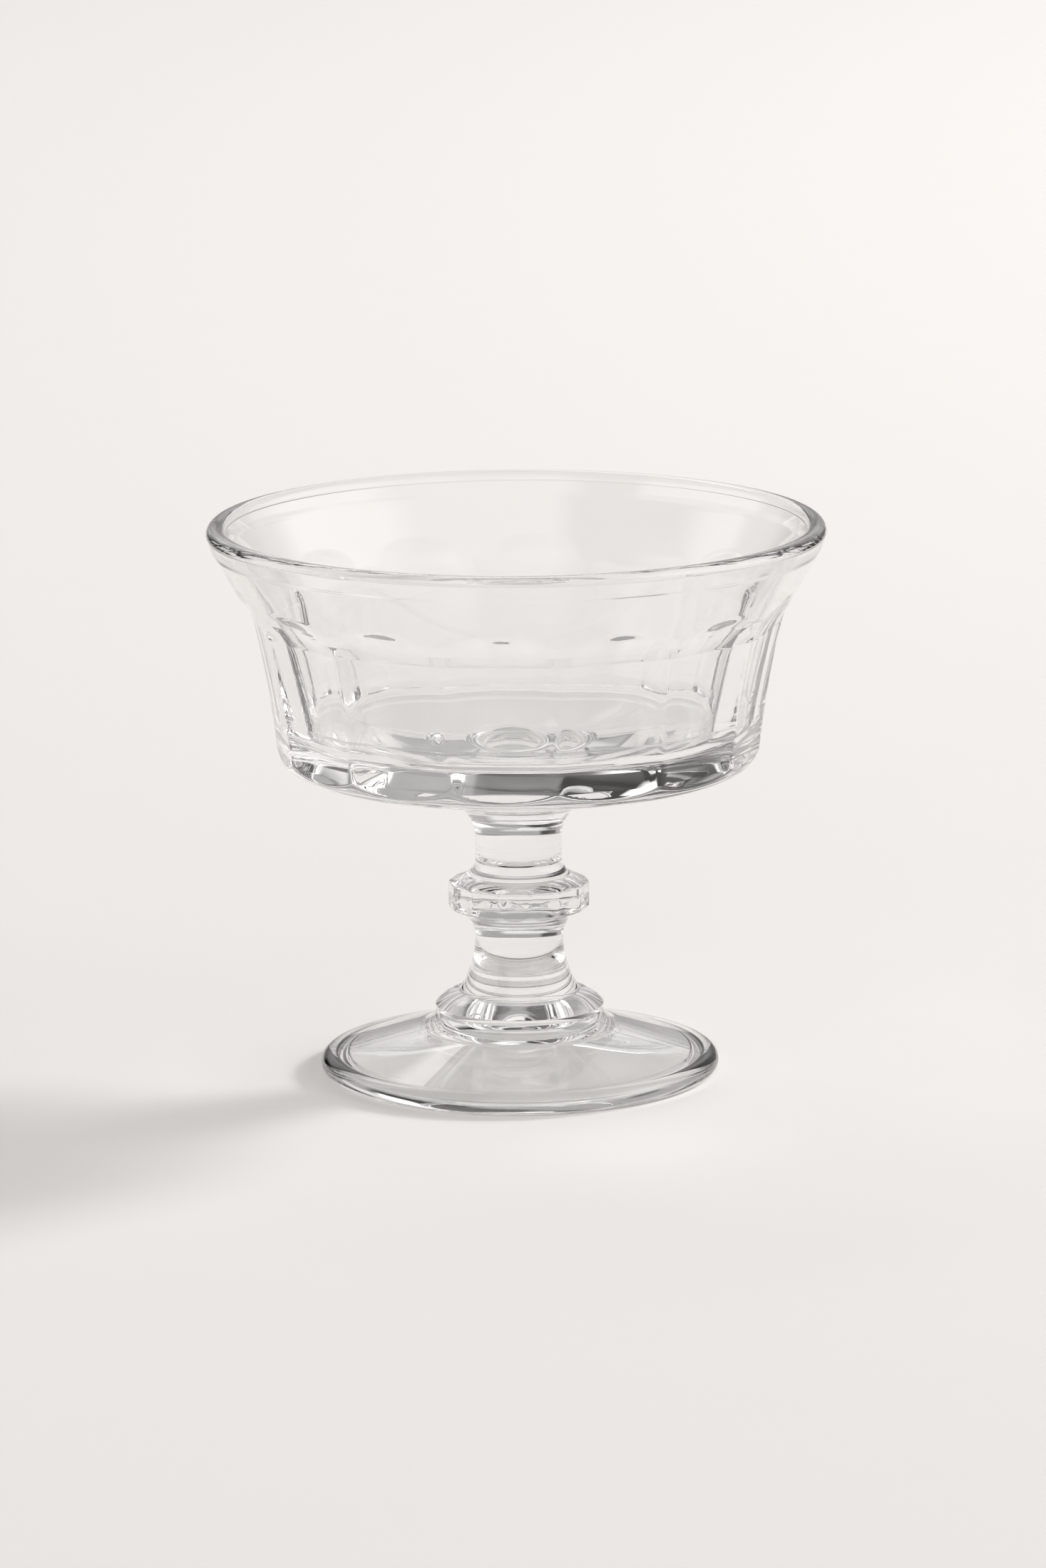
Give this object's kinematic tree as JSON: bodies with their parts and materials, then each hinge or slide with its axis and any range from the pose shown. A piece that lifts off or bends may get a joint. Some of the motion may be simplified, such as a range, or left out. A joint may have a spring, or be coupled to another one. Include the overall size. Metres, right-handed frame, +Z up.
{
  "type": "ice cream cup",
  "caption": "Footed ice cream cup of clear pressed glass: round beaded foot, collar, short stem with a faceted knop, and a flared bowl with flat arched panels and a rounded rim.",
  "frame": {"origin": "centre of the foot's contact ring, on the surface that the cup stands on", "axes": "+Z up along the cup's axis. The ridges between panels, and the mould seams, lie on +X and -X"},
  "size_m": [0.105, 0.105, 0.0953],
  "materials": {
    "clear_glass": "clear, fire polished, colourless"
  },
  "bodies": {
    "root": {"ice_cream_cup": "clear_glass"}
  },
  "joints": []
}
